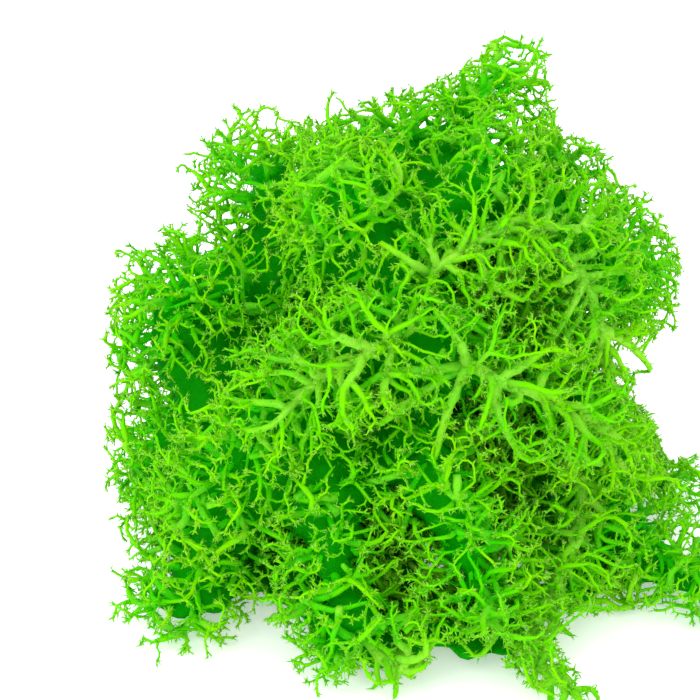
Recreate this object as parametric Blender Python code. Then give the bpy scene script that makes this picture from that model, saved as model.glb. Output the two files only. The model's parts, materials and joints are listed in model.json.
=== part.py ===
"""Reindeer moss clump: forked stalks tangled round a matted heart, resting on a small flat spot.

Each stalk carries sprays, and each spray carries pointed twigs. A stalk keeps to its own share of
the clump, which is the space nearer to it than to any other stalk, so the tufts never cross.
+X is to the right, +Y away from the front, +Z up, and the origin is the middle of the flat spot.
"""

import math
import random
from collections import namedtuple

import bmesh
import bpy
import numpy as np
from mathutils import Vector, noise
from mathutils.bvhtree import BVHTree

# Every length below is in millimetres. MM turns one into Blender's metres.
MM = 0.001

# The matted heart: lumpy and upright, with full ends, cut flat below the level where it rests
HEART_FOOT_Z = 9.0
HEART_HEAD_Z = 48.0
HEART_RADIUS = 8.5
HEART_LUMP_DEPTH = 3.0
HEART_LUMP_SIZE = 5.0
FLAT_SPOT_LEVEL = -0.86
STUMP_LENGTH = 6.0
STUMP_ROOT_RADIUS = 1.6
OLD_SPRAYS = 16
OLD_SPRAY_REACH = 12.0
OLD_SPRAY_SUNK = 4.0

# Stalks and sprays: radii from root to tip, out to their corners, and the length of a straight run
STALK_RADII = (1.4, 1.1)
STALK_STEP = 7.0
STALK_SIDES = 4
SPRAY_RADII = (1.0, 0.85, 0.7, 0.0)
SPRAY_STEP = 4.7
SPRAY_SIDES = 3

# How the sprays leave the stalk: their spacing, lean in degrees, and root's distance off its axis
SPRAY_SPACING = 5.4
SPRAY_LEAN = (42, 70)
SPRAY_OFFSET = 0.3
FIRST_SPRAY = 0.7

# Twigs: pointed, drawn out from the faces of a spray between its rings
RING_STEP = 2.35
TWIG_LENGTHS = (7.0, 4.2)
TWIG_LEAN = (48, 72)
TWIG_HALF_WIDTH = 0.3
TWIG_CHANCE_OF_PAIR = 0.5

# Growth: how far a spray wanders, how much more at each new try, and the room that it looks for
TRIES = 9
WANDER = 0.28
MORE_WANDER = 0.16
LENGTH_SPREAD = (0.85, 1.15)
TESTED_PARTS = (0.4, 0.7, 1.0)
TURN_PER_TRY = 0.7
ELBOW_ROOM = 1.5
GAP = 0.3
FIELD_STEP = 1.0
GROUND_CLEARANCE = 0.25
GOLDEN_ANGLE = math.pi * (3 - math.sqrt(5))

# Each tuft: the route of its stalk from the heart outwards, how far its sprays reach from it,
# and the side on which the stalk lies bare, if it has one.
Tuft = namedtuple("Tuft", "route reach bare", defaults=(None,))
BARE_LIMIT = 0.5
FRONT = (0.0, -0.862, 0.507)
TUFTS = {
    "peak_tuft": Tuft([(6, 6, 52), (8, 11, 66), (11, 14, 75), (15, 18, 80), (18, 21, 81)], 9.5),
    "crown_tuft": Tuft([(-2, 5, 53), (-4, 8, 62), (-3, 9, 70), (2, 9, 75)], 12),
    "crown_middle_tuft": Tuft([(4, -2, 55), (8, -4, 65), (14, -3, 73)], 11),
    "crown_front_tuft": Tuft([(-5, -5, 53), (-8, -9, 62), (-10, -12, 71)], 12),
    "crown_left_tuft": Tuft([(-9, 4, 51), (-18, 7, 59), (-24, 8, 66)], 12),
    "upper_shoulder_tuft": Tuft([(8, 4, 51), (17, 8, 59), (24, 11, 65), (29, 13, 67)], 10.5),
    "shoulder_tuft": Tuft([(9, 1, 46), (25, 3, 56), (36, 3, 58), (41, 2, 53), (43, 1, 48)], 10),
    "ridge_tuft": Tuft(
        [(3, -9, 50), (4.5, -19, 61), (12, -18, 67), (19, -13, 68), (27, -9, 65)],
        10, FRONT,
    ),
    "spine_tuft": Tuft([(9, -6, 46), (24, -9, 60), (31, -13, 58), (34, -17, 50), (36, -18, 41)], 10, FRONT),
    "hub_tuft": Tuft([(5, -9, 39), (10, -28, 49), (18, -32, 47), (29, -29, 40), (38, -23, 31)], 10, FRONT),
    "hub_left_tuft": Tuft([(-2, -9, 42), (-1, -27, 54), (-9, -32, 52), (-19, -31, 44)], 11, FRONT),
    "breast_tuft": Tuft([(3, -9, 28), (5, -30, 33), (9, -37, 25), (13, -42, 15), (16, -47, 7)], 11),
    "breast_left_tuft": Tuft([(-4, -8, 22), (-10, -28, 27), (-13, -37, 20), (-9, -45, 9), (1, -54, 4)], 11),
    "thick_stem_tuft": Tuft(
        [(9, -5, 24), (29, -19, 25), (31, -28, 17), (26, -38, 9), (22, -48, 4), (28, -58, 2.8)],
        10, FRONT,
    ),
    "waist_tuft": Tuft([(-8, -7, 33), (-18, -24, 37), (-27, -29, 33), (-33, -30, 24)], 11),
    "right_tuft": Tuft([(9, 0, 36), (26, -3, 36), (34, -6, 30), (38, -9, 22)], 11),
    "right_foot_tuft": Tuft(
        [(9, -4, 18), (29, -14, 17), (39, -20, 12), (47, -25, 7), (54, -29, 4.5), (59, -33, 3)],
        10,
    ),
    "right_back_tuft": Tuft([(9, 6, 34), (25, 14, 42), (34, 19, 44), (39, 22, 41)], 12),
    "right_low_tuft": Tuft([(9, 4, 17), (28, 9, 16), (42, 7, 9), (50, 5, 6)], 11),
    "left_shoulder_tuft": Tuft([(-9, 0, 42), (-26, -1, 50), (-36, -3, 49), (-42, -5, 42)], 12),
    "left_tuft": Tuft([(-9, -3, 30), (-28, -8, 32), (-38, -12, 28), (-44, -14, 20)], 11.5),
    "left_foot_tuft": Tuft([(-8, -5, 17), (-24, -18, 16), (-33, -26, 11), (-38, -33, 6)], 11.5),
    "left_low_tuft": Tuft([(-9, 1, 16), (-27, 2, 17), (-40, 0, 11)], 12),
    "left_back_tuft": Tuft([(-9, 5, 31), (-25, 16, 35), (-35, 20, 31)], 12.5),
    "left_back_foot_tuft": Tuft([(-7, 8, 15), (-20, 22, 15), (-28, 29, 9)], 12),
    "back_crown_tuft": Tuft([(-4, 9, 47), (-11, 22, 56), (-16, 28, 54)], 12.5),
    "back_tuft": Tuft([(4, 9, 43), (9, 25, 51), (15, 32, 50)], 12.5),
    "back_low_tuft": Tuft([(0, 10, 30), (-2, 26, 32), (-1, 36, 27)], 12.5),
    "back_foot_tuft": Tuft([(4, 9, 15), (10, 25, 15), (13, 34, 9)], 12),
    "back_right_tuft": Tuft([(7, 8, 25), (20, 22, 28), (27, 29, 24)], 12.5),
}

MOSS_GREEN = (0.09, 0.55, 0.01, 1.0)
HEART_GREEN = (0.03, 0.26, 0.01, 1.0)


def unit(vector):
    return vector / np.linalg.norm(vector)


def draws(*key):
    """A random source of its own for each stalk, spray and twig, so that none shifts another's."""
    return random.Random("/".join(str(part) for part in key))


def smooth_route(waypoints, step):
    """Points at an even step along the smooth curve through the waypoints."""
    knots = np.array([waypoints[0], *waypoints, waypoints[-1]], float)
    curve = []
    for before, start, end, after in zip(knots, knots[1:], knots[2:], knots[3:]):
        leaving = (end - before) / 2
        arriving = (after - start) / 2
        for t in np.linspace(0, 1, 16, endpoint=False):
            bend = (3 * (end - start) - 2 * leaving - arriving) * t**2
            twist = (2 * (start - end) + leaving + arriving) * t**3
            curve.append(start + leaving * t + bend + twist)
    curve = np.array([*curve, knots[-1]])
    run = np.concatenate([[0], np.cumsum(np.linalg.norm(np.diff(curve, axis=0), axis=1))])
    even = np.linspace(0, run[-1], max(2, round(run[-1] / step)) + 1)
    return np.stack([np.interp(even, run, curve[:, k]) for k in range(3)], axis=1)


def stalk_route(name):
    """The stalk's route, with its first point set just clear of the heart's outer surface."""
    waypoints = np.array(TUFTS[name].route, float)
    inside = np.array([0.0, 0.0, np.clip(waypoints[0][2], HEART_FOOT_Z, HEART_HEAD_Z)])
    waypoints[0] = inside + unit(waypoints[0] - inside) * (HEART_RADIUS + GAP)
    return waypoints


class Shares:
    """How the clump's space is shared: a point belongs to the stalk, or to the heart, that is nearest."""

    def __init__(self):
        self.owners = ["matted_heart", *TUFTS]
        heart = np.array([(0, 0, z) for z in np.arange(HEART_FOOT_Z, HEART_HEAD_Z + FIELD_STEP, FIELD_STEP)])
        routes = [heart] + [smooth_route(stalk_route(name), FIELD_STEP) for name in TUFTS]
        radii = [HEART_RADIUS] + [STALK_RADII[0]] * len(TUFTS)
        self.points = np.vstack(routes)
        self.radii = np.concatenate([np.full(len(route), radius) for route, radius in zip(routes, radii)])
        ends = np.cumsum([len(route) for route in routes])
        self.spans = {
            owner: slice(end - len(route), end) for owner, route, end in zip(self.owners, routes, ends)
        }

    def around(self, owner, point):
        """(distance to the owner's surface, distance to the edge of its share)"""
        away = np.linalg.norm(self.points - point, axis=1) - self.radii
        span = self.spans[owner]
        own = away[span].min()
        away[span] = np.inf
        return own, (away.min() - own) / 2

    def fits(self, owner, point, radius, reach):
        """Whether a stem this thick has room at the point, off the ground and within reach of the owner."""
        if point[2] < radius + GROUND_CLEARANCE:
            return False
        own, room = self.around(owner, point)
        return own + radius <= reach and room >= radius + GAP / 2


def side_direction(along, turn, lean):
    """A direction that leans away from another by an angle, turned round it by another angle."""
    across = unit(np.cross(along, (0.3, 0.1, 1.0) if abs(along[2]) < 0.8 else (1.0, 0.2, 0.1)))
    other = np.cross(along, across)
    return math.cos(lean) * along + math.sin(lean) * (math.cos(turn) * across + math.sin(turn) * other)


def uncrowded(crowd, points):
    """Whether the points keep their distance from the twigs that are there already."""
    if not crowd:
        return True
    others = np.array(crowd)
    return min(np.linalg.norm(others - point, axis=1).min() for point in points) > ELBOW_ROOM


def grow(shares, owner, reach, start, heading, draw, crowd):
    """The wandering run of a spray. Where a step would leave its share or meet a twig, it bends clear."""
    points = [start]
    for step in range(len(SPRAY_RADII) - 1):
        for attempt in range(TRIES):
            spread = (WANDER + MORE_WANDER * attempt) / math.sqrt(3)
            turned = unit(heading + spread * np.array([draw.gauss(0, 1) for _ in range(3)]))
            length = SPRAY_STEP * draw.uniform(*LENGTH_SPREAD)
            ahead = [points[-1] + turned * length * part for part in TESTED_PARTS]
            free = step == 0 or uncrowded(crowd, ahead)
            if free and all(shares.fits(owner, point, SPRAY_RADII[0], reach) for point in ahead):
                break
        else:
            break
        points.append(ahead[-1])
        heading = turned
    return points


def taper(radii, count):
    return list(np.interp(np.linspace(0, 1, count), np.linspace(0, 1, len(radii)), radii))


def nearest(points, point):
    return int(np.linalg.norm(points - point, axis=1).argmin())


def skin_of(made):
    """The surface of a stem, to find which of its faces looks a given way."""
    corners = [vertex.co / MM for vertex in made.data.vertices]
    return BVHTree.FromPolygons(corners, [tuple(face.vertices) for face in made.data.polygons])


def leave(skin, place, along, turn, lean):
    """(root, heading) of a spray that leaves a stalk through the middle of one of its faces."""
    outward = side_direction(along, turn, math.pi / 2)
    normal = skin.ray_cast(Vector(place), Vector(outward))[1]
    if normal is not None:
        across = np.array(normal) - along * np.dot(normal, along)
        outward = unit(across)
    return place + outward * SPRAY_OFFSET, math.cos(lean) * along + math.sin(lean) * outward


def at_place(points, place):
    """(point, direction) at a place along a run of points, counted in steps from its root"""
    bend = min(int(place), len(points) - 2)
    step = points[bend + 1] - points[bend]
    return points[bend] + step * (place - bend), unit(step)


def side_faces(work, points):
    """The four-cornered faces of a stem's mesh, listed for each run between its points."""
    middles = (points[1:] + points[:-1]) / 2
    sides = [[] for middle in middles]
    for face in work.faces:
        if len(face.verts) == 4:
            sides[nearest(middles, np.array(face.calc_center_median()) / MM)].append(face)
    return sides


def draw_out_twigs(made, shares, name, reach, points, draw, crowd):
    """Draws pointed twigs out of a spray's side faces, on every run but its first and its last."""
    work = bmesh.new()
    work.from_mesh(made.data)
    sides = side_faces(work, points)
    for run in range(1, len(sides) - 1):
        along = unit(points[run + 1] - points[run])
        wanted = 2 if draw.random() < TWIG_CHANCE_OF_PAIR else 1
        for face in draw.sample(sides[run], len(sides[run])):
            base = np.array(face.calc_center_median()) / MM
            lean = math.radians(draw.uniform(*TWIG_LEAN))
            heading = math.cos(lean) * along + math.sin(lean) * np.array(face.normal)
            length = np.interp(run / len(sides), (0, 1), TWIG_LENGTHS) * draw.uniform(*LENGTH_SPREAD)
            ahead = [base + heading * length * part for part in TESTED_PARTS]
            fits = all(shares.fits(name, point, TWIG_HALF_WIDTH, reach) for point in ahead)
            if wanted and fits and uncrowded(crowd, ahead):
                tip = bmesh.ops.poke(work, faces=[face])["verts"][0]
                tip.co = ahead[-1] * MM
                crowd.extend(ahead)
                wanted -= 1
    work.to_mesh(made.data)
    work.free()


def make_spray(shares, name, reach, root, heading, draw, crowd):
    """Makes a spray with its twigs. Says whether there was room for it."""
    run = grow(shares, name, reach, root, heading, draw, crowd)
    if len(run) < 3:
        return False
    points = smooth_route(run, RING_STEP)
    made = meshed(stem(points, taper(SPRAY_RADII, len(points)), rings[SPRAY_SIDES]))
    draw_out_twigs(made, shares, name, reach, points, draw, crowd)
    crowd.extend(points[2:])
    return True


def moss_material(name, colour):
    material = bpy.data.materials.new(name)
    material.use_nodes = True
    shader = material.node_tree.nodes["Principled BSDF"]
    shader.inputs["Base Color"].default_value = colour
    shader.inputs["Roughness"].default_value = 0.75
    shader.inputs["Metallic"].default_value = 0.0
    return material


def ring_profile(sides):
    """A closed ring, 1 mm in radius, that a stalk's curve is bevelled with."""
    ring = bpy.data.curves.new(f"ring_{sides}", "CURVE")
    ring.dimensions = "2D"
    spline = ring.splines.new("POLY")
    spline.points.add(sides - 1)
    for k, point in enumerate(spline.points):
        angle = math.tau * k / sides
        point.co = (MM * math.cos(angle), MM * math.sin(angle), 0, 1)
    spline.use_cyclic_u = True
    guide = bpy.data.objects.new(f"ring_{sides}", ring)
    guide.hide_render = True
    guide.display_type = "WIRE"
    guides.objects.link(guide)
    return guide


def stem(points, radii, profile):
    """One tapering stem, as a curve in the pieces collection."""
    curve = bpy.data.curves.new("stem", "CURVE")
    curve.dimensions = "3D"
    curve.bevel_mode = "OBJECT"
    curve.bevel_object = profile
    curve.use_fill_caps = True
    spline = curve.splines.new("POLY")
    spline.points.add(len(points) - 1)
    for point, place, radius in zip(spline.points, points, radii):
        point.co = (*(np.array(place) * MM), 1)
        point.radius = radius
    drawn = bpy.data.objects.new("stem", curve)
    pieces.objects.link(drawn)
    return drawn


def meshed(drawn):
    """The stem's curve turned into a mesh, with its end caps welded on."""
    bpy.context.view_layer.update()
    graph = bpy.context.evaluated_depsgraph_get()
    mesh = bpy.data.meshes.new_from_object(drawn.evaluated_get(graph))
    work = bmesh.new()
    work.from_mesh(mesh)
    bmesh.ops.remove_doubles(work, verts=work.verts, dist=0.00001)
    bmesh.ops.recalc_face_normals(work, faces=work.faces)
    work.to_mesh(mesh)
    work.free()
    made = bpy.data.objects.new("stem", mesh)
    made.matrix_world = drawn.matrix_world
    pieces.objects.link(made)
    curve = drawn.data
    bpy.data.objects.remove(drawn)
    bpy.data.curves.remove(curve)
    return made


def keep_outer_skin(mesh):
    """Fills the hollows that the union sealed, and drops loose scraps: only the largest skin stays."""
    work = bmesh.new()
    work.from_mesh(mesh)
    unseen = set(work.faces)
    skins = []
    while unseen:
        skin = [unseen.pop()]
        for face in skin:
            for edge in face.edges:
                for other in edge.link_faces:
                    if other in unseen:
                        unseen.remove(other)
                        skin.append(other)
        skins.append(skin)
    skins.sort(key=len)
    for skin in skins[:-1]:
        bmesh.ops.delete(work, geom=skin, context="FACES")
    work.to_mesh(mesh)
    work.free()


def fuse(name, body, material):
    """Joins the pieces to the body in one Boolean union, and removes them."""
    body.name = name
    pieces.objects.unlink(body)
    clump.objects.link(body)
    union = body.modifiers.new("union", "BOOLEAN")
    union.operation = "UNION"
    union.operand_type = "COLLECTION"
    union.collection = pieces
    union.solver = "MANIFOLD"
    bpy.context.view_layer.update()
    graph = bpy.context.evaluated_depsgraph_get()
    fused = bpy.data.meshes.new_from_object(body.evaluated_get(graph))
    body.modifiers.clear()
    keep_outer_skin(fused)
    body.data = fused
    body.data.name = name
    body.data.materials.clear()
    body.data.materials.append(material)
    for piece in list(pieces.objects):
        bpy.data.objects.remove(piece)


def make_tuft(shares, name, material):
    """One stalk with its sprays and twigs, fused into one body."""
    tuft = TUFTS[name]
    stalk = smooth_route(stalk_route(name), STALK_STEP)
    body = meshed(stem(stalk, [*taper(STALK_RADII, len(stalk) - 1), 0], rings[STALK_SIDES]))
    skin = skin_of(body)
    crowd = []
    runs = len(stalk) - 1
    forks = round(runs * STALK_STEP / SPRAY_SPACING)
    for number in range(forks):
        middle, along = at_place(stalk, (number + FIRST_SPRAY) / forks * runs)
        draw = draws(name, number + 1)
        for attempt in range(TRIES):
            turn = (number + 1 + attempt * TURN_PER_TRY) * GOLDEN_ANGLE
            lean = math.radians(draw.uniform(*SPRAY_LEAN))
            root, heading = leave(skin, middle, along, turn, lean)
            if tuft.bare and np.dot(heading, tuft.bare) > BARE_LIMIT:
                continue
            if make_spray(shares, name, tuft.reach, root, heading, draw, crowd):
                break
    fuse(name, body, material)


def heart_body():
    """A lumpy upright body with full ends, flat where it rests."""
    mesh = bpy.data.meshes.new("matted_heart")
    work = bmesh.new()
    bmesh.ops.create_icosphere(work, subdivisions=3, radius=1)
    half_height = (HEART_HEAD_Z + HEART_RADIUS) / 2
    for vertex in work.verts:
        level = vertex.co.z
        round_it = Vector((vertex.co.x, vertex.co.y, 0)).normalized()
        fullness = (1 - abs(level) ** 3) ** (1 / 3)
        place = round_it * HEART_RADIUS * fullness + Vector((0, 0, half_height * (1 + level)))
        lump = 0.5 + 0.5 * noise.noise(place / HEART_LUMP_SIZE)
        place -= round_it * HEART_LUMP_DEPTH * lump * fullness
        if level < FLAT_SPOT_LEVEL:
            place.z = 0.0
        vertex.co = place * MM
    bmesh.ops.recalc_face_normals(work, faces=work.faces)
    work.to_mesh(mesh)
    work.free()
    body = bpy.data.objects.new("matted_heart", mesh)
    pieces.objects.link(body)
    return body


def make_heart(shares, material):
    """The heart with its old stalks: a stump behind each tuft, and sprays all round."""
    body = heart_body()
    for name in TUFTS:
        first, second = smooth_route(stalk_route(name), STALK_STEP)[:2]
        along = unit(second - first)
        ends = [first - along * STUMP_LENGTH, first - along * GAP]
        meshed(stem(ends, (STUMP_ROOT_RADIUS, STALK_RADII[0]), rings[STALK_SIDES]))
    crowd = []
    for number in range(OLD_SPRAYS):
        draw = draws("old spray", number)
        height = draw.uniform(HEART_FOOT_Z, HEART_HEAD_Z)
        turn = number * GOLDEN_ANGLE
        outward = unit(np.array([math.cos(turn), math.sin(turn), draw.uniform(-0.4, 0.9)]))
        root = np.array([0, 0, height]) + outward * (HEART_RADIUS - OLD_SPRAY_SUNK)
        make_spray(shares, "matted_heart", OLD_SPRAY_REACH, root, outward, draw, crowd)
    fuse("matted_heart", body, material)


for leftover in list(bpy.data.objects):
    bpy.data.objects.remove(leftover)
clump = bpy.data.collections.new("reindeer_moss_clump")
pieces = bpy.data.collections.new("pieces")
guides = bpy.data.collections.new("guides")
for collection in (clump, pieces, guides):
    bpy.context.scene.collection.children.link(collection)
rings = {sides: ring_profile(sides) for sides in (STALK_SIDES, SPRAY_SIDES)}
moss = moss_material("moss", MOSS_GREEN)
mat = moss_material("matted_moss", HEART_GREEN)

share = Shares()
make_heart(share, mat)
for tuft in TUFTS:
    make_tuft(share, tuft, moss)
for guide in list(guides.objects):
    bpy.data.objects.remove(guide)
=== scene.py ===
"""Looks of the reindeer moss clump: fine forked growth on every stalk, and a matted heart.

Each tuft grows like the real thing. Its stalk bears limbs, and from them branches fork again and
again towards loose points that are scattered through the tuft's share of the clump, until they end
in stars of pointed prongs. A tangle of thick stems lies between the tufts, and a mat of old growth
inside and under it. Lengths below are in millimetres, unless a comment says metres, in the frame of
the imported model.
"""

import json
import math
from collections import namedtuple

import bpy
import numpy as np
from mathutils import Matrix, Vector, kdtree, noise

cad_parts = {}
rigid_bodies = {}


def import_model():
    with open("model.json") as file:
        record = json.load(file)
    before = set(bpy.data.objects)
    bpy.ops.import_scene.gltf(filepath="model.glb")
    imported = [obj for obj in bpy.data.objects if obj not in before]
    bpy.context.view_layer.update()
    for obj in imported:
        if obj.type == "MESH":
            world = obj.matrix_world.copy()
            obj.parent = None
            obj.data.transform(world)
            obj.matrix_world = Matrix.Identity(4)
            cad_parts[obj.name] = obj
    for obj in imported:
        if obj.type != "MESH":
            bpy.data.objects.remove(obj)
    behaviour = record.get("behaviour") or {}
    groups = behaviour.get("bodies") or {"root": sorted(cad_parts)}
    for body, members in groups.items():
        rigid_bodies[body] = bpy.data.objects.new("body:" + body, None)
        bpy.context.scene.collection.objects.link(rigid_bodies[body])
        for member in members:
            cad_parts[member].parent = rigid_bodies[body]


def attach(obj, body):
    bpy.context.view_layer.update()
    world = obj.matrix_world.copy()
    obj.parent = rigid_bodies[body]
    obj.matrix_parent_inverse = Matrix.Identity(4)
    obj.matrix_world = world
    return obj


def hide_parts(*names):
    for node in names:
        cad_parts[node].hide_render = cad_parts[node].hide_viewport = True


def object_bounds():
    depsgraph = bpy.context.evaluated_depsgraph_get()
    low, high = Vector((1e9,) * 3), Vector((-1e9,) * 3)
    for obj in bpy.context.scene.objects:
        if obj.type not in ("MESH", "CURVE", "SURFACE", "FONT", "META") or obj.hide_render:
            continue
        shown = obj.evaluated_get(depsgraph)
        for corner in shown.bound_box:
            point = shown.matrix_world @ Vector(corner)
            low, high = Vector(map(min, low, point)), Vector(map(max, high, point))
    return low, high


for leftover in list(bpy.data.objects):
    bpy.data.objects.remove(leftover)
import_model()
cad_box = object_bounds()

MM = 0.001

# Blender's vector noise takes its seed from the clock unless it is given one
NOISE_SEED = 1
noise.seed_set(NOISE_SEED)

# Most noise values lie in this range
NOISE_RANGE = (-0.5, 0.5)

# The matted heart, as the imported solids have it: the heights between which it is a cylinder, its
# radius, how far its own growth reaches, and the small gap to the stalks
HEART_FOOT_Z = 9.0
HEART_HEAD_Z = 48.0
HEART_RADIUS = 8.5
HEART_REACH = 12.0
GAP = 0.3

# A tuft has its stalk's waypoints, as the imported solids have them, and how far its growth reaches
# from the stalk. A bare one also has the way it faces, where little grows on it.
Tuft = namedtuple("Tuft", "route reach bare", defaults=(None,))
FRONT = (0.0, -0.862, 0.507)
TUFTS = {
    "peak_tuft": Tuft([(6, 6, 52), (8, 11, 66), (11, 14, 75), (15, 18, 80), (18, 21, 81)], 9.5),
    "crown_tuft": Tuft([(-2, 5, 53), (-4, 8, 62), (-3, 9, 70), (2, 9, 75)], 12),
    "crown_middle_tuft": Tuft([(4, -2, 55), (8, -4, 65), (14, -3, 73)], 11),
    "crown_front_tuft": Tuft([(-5, -5, 53), (-8, -9, 62), (-10, -12, 71)], 12),
    "crown_left_tuft": Tuft([(-9, 4, 51), (-18, 7, 59), (-24, 8, 66)], 12),
    "upper_shoulder_tuft": Tuft([(8, 4, 51), (17, 8, 59), (24, 11, 65), (29, 13, 67)], 10.5),
    "shoulder_tuft": Tuft([(9, 1, 46), (25, 3, 56), (36, 3, 58), (41, 2, 53), (43, 1, 48)], 10),
    "ridge_tuft": Tuft(
        [(3, -9, 50), (4.5, -19, 61), (12, -18, 67), (19, -13, 68), (27, -9, 65)],
        10, FRONT,
    ),
    "spine_tuft": Tuft([(9, -6, 46), (24, -9, 60), (31, -13, 58), (34, -17, 50), (36, -18, 41)], 10, FRONT),
    "hub_tuft": Tuft([(5, -9, 39), (10, -28, 49), (18, -32, 47), (29, -29, 40), (38, -23, 31)], 10, FRONT),
    "hub_left_tuft": Tuft([(-2, -9, 42), (-1, -27, 54), (-9, -32, 52), (-19, -31, 44)], 11, FRONT),
    "breast_tuft": Tuft([(3, -9, 28), (5, -30, 33), (9, -37, 25), (13, -42, 15), (16, -47, 7)], 11),
    "breast_left_tuft": Tuft([(-4, -8, 22), (-10, -28, 27), (-13, -37, 20), (-9, -45, 9), (1, -54, 4)], 11),
    "thick_stem_tuft": Tuft(
        [(9, -5, 24), (29, -19, 25), (31, -28, 17), (26, -38, 9), (22, -48, 4), (28, -58, 2.8)],
        10, FRONT,
    ),
    "waist_tuft": Tuft([(-8, -7, 33), (-18, -24, 37), (-27, -29, 33), (-33, -30, 24)], 11),
    "right_tuft": Tuft([(9, 0, 36), (26, -3, 36), (34, -6, 30), (38, -9, 22)], 11),
    "right_foot_tuft": Tuft(
        [(9, -4, 18), (29, -14, 17), (39, -20, 12), (47, -25, 7), (54, -29, 4.5), (59, -33, 3)],
        10,
    ),
    "right_back_tuft": Tuft([(9, 6, 34), (25, 14, 42), (34, 19, 44), (39, 22, 41)], 12),
    "right_low_tuft": Tuft([(9, 4, 17), (28, 9, 16), (42, 7, 9), (50, 5, 6)], 11),
    "left_shoulder_tuft": Tuft([(-9, 0, 42), (-26, -1, 50), (-36, -3, 49), (-42, -5, 42)], 12),
    "left_tuft": Tuft([(-9, -3, 30), (-28, -8, 32), (-38, -12, 28), (-44, -14, 20)], 11.5),
    "left_foot_tuft": Tuft([(-8, -5, 17), (-24, -18, 16), (-33, -26, 11), (-38, -33, 6)], 11.5),
    "left_low_tuft": Tuft([(-9, 1, 16), (-27, 2, 17), (-40, 0, 11)], 12),
    "left_back_tuft": Tuft([(-9, 5, 31), (-25, 16, 35), (-35, 20, 31)], 12.5),
    "left_back_foot_tuft": Tuft([(-7, 8, 15), (-20, 22, 15), (-28, 29, 9)], 12),
    "back_crown_tuft": Tuft([(-4, 9, 47), (-11, 22, 56), (-16, 28, 54)], 12.5),
    "back_tuft": Tuft([(4, 9, 43), (9, 25, 51), (15, 32, 50)], 12.5),
    "back_low_tuft": Tuft([(0, 10, 30), (-2, 26, 32), (-1, 36, 27)], 12.5),
    "back_foot_tuft": Tuft([(4, 9, 15), (10, 25, 15), (13, 34, 9)], 12),
    "back_right_tuft": Tuft([(7, 8, 25), (20, 22, 28), (27, 29, 24)], 12.5),
}

# A stalk: how deep it starts in the heart, its least and greatest radius, how far it bends and over
# what length, how far along it the bends set in, and the points on its curve between two waypoints
STALK_SUNK = 5.0
STALK_RADII = (0.4, 1.05)
STALK_BEND = 1.1
STALK_BEND_SIZE = 6.0
STALK_STRAIGHT = 9.0
CURVE_POINTS = 16

# The old stems inside the heart: how many, their length in steps, their radius at the root and
# the share of it at the end, how they bend, how far inside the heart they stay, and how many of
# their nodes bear thin growth
OLD_STEMS = 60
OLD_STEM_STEPS = 16
OLD_STEM_RADII = (0.4, 0.75)
OLD_STEM_TAPER = 0.6
OLD_STEM_WANDER = 0.45
OLD_STEM_MARGIN = 0.8
OLD_BUDS = 120

# The tangle of thick stems between the tufts: how many, between which depths in cells, their length
# in steps, a step's length, how they bend, how thick they are from root to end, by how much that
# varies, and the least slope of the depth that still turns them inwards with full force
TANGLE_STEMS = 980
TANGLE_LAYERS = (2, 4)
TANGLE_STEPS = (6, 14)
TANGLE_STEP = 1.5
TANGLE_WANDER = 0.3
TANGLE_RADII = (0.7, 0.35)
TANGLE_THICKNESS = (0.6, 1.2)
TANGLE_SLOPE = 0.1

# More such stems in the hollows under the front stalks: how many, and the corners of each hollow
HOLLOWS = (
    (110, (-14.0, -43.0, 1.0), (25.0, -12.0, 13.0)),
    (60, (22.0, -33.0, 1.0), (42.0, -12.0, 11.0)),
)

# The mat of old growth inside the tangle. It fills the cells that lie this many layers deep, from
# this height up. Its foot is a thin layer, up to its own top, under the growth that is lower than a
# set height, and this many cells in from the edge of that growth. Its surface is remeshed, smoothed
# and lumpy, and veins stand for stems that are matted together.
MAT_LAYER = 5
MAT_GROUND = 1.0
FOOT_UNDER_Z = 26.0
FOOT_MARGIN = 3
FOOT_TOP = 4.0
MAT_VOXEL = 2.0
MAT_SMOOTHING = 4
MAT_LUMP_SIZE = 3.0
MAT_LUMP_HEIGHT = 1.6
MAT_TONE = 0.5
VEIN_SIZE = 2.2
VEIN_HEIGHT = 0.8

# Where the loose points lie that the growth makes for: one to this many cubic millimetres, this far
# inside the sides of the box and above the ground, and a little past the reach of the tuft, with a
# blurred border between one tuft's share and the next
POINT_VOLUME = 5.1
POINT_MARGIN = 0.5
GROUND = 0.6
POINT_REACH = 0.6
SHARE_BLUR = 1.5

# Depth is counted in layers of cells, in a grid with spare cells round the box. Each layer keeps its
# own share of the points. Fewer are kept behind the clump, except along its skyline, and under it,
# where they lie deep from every side. They lie in swarms with holes between them. None lies far out
# on the bare face of a stalk.
CELL = 2.0
SPARE_CELLS = 3
DEPTH_LAYERS = 5
KEPT_BY_LAYER = (1.0, 1.0, 0.3, 0.05, 0.0, 0.0)
BEHIND_FROM_Y = 0.0
BEHIND_TO_Y = 24.0
KEPT_BEHIND = 0.33
SKYLINE_Z = 45.0
UNDER_TO_Z = 9.0
UNDER_LAYERS = 3
KEPT_UNDER = 0.2
SWARM_SIZE = 6.0
SWARM_FILL = 0.8
SWARM_CONTRAST = 1.6
BARE_LIMIT = 0.7
BARE_FROM = 2.5

# The camera: how high it looks down from, its lens and distance, the point that it looks at, and
# from where on it sees things, in metres
CAMERA_ELEVATION = math.radians(30)
LENS = 100.0
CAMERA_DISTANCE = 350.0
CAMERA_TARGET = (-9.0, -5.0, 38.8)
CLIP_START = 0.01

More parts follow.
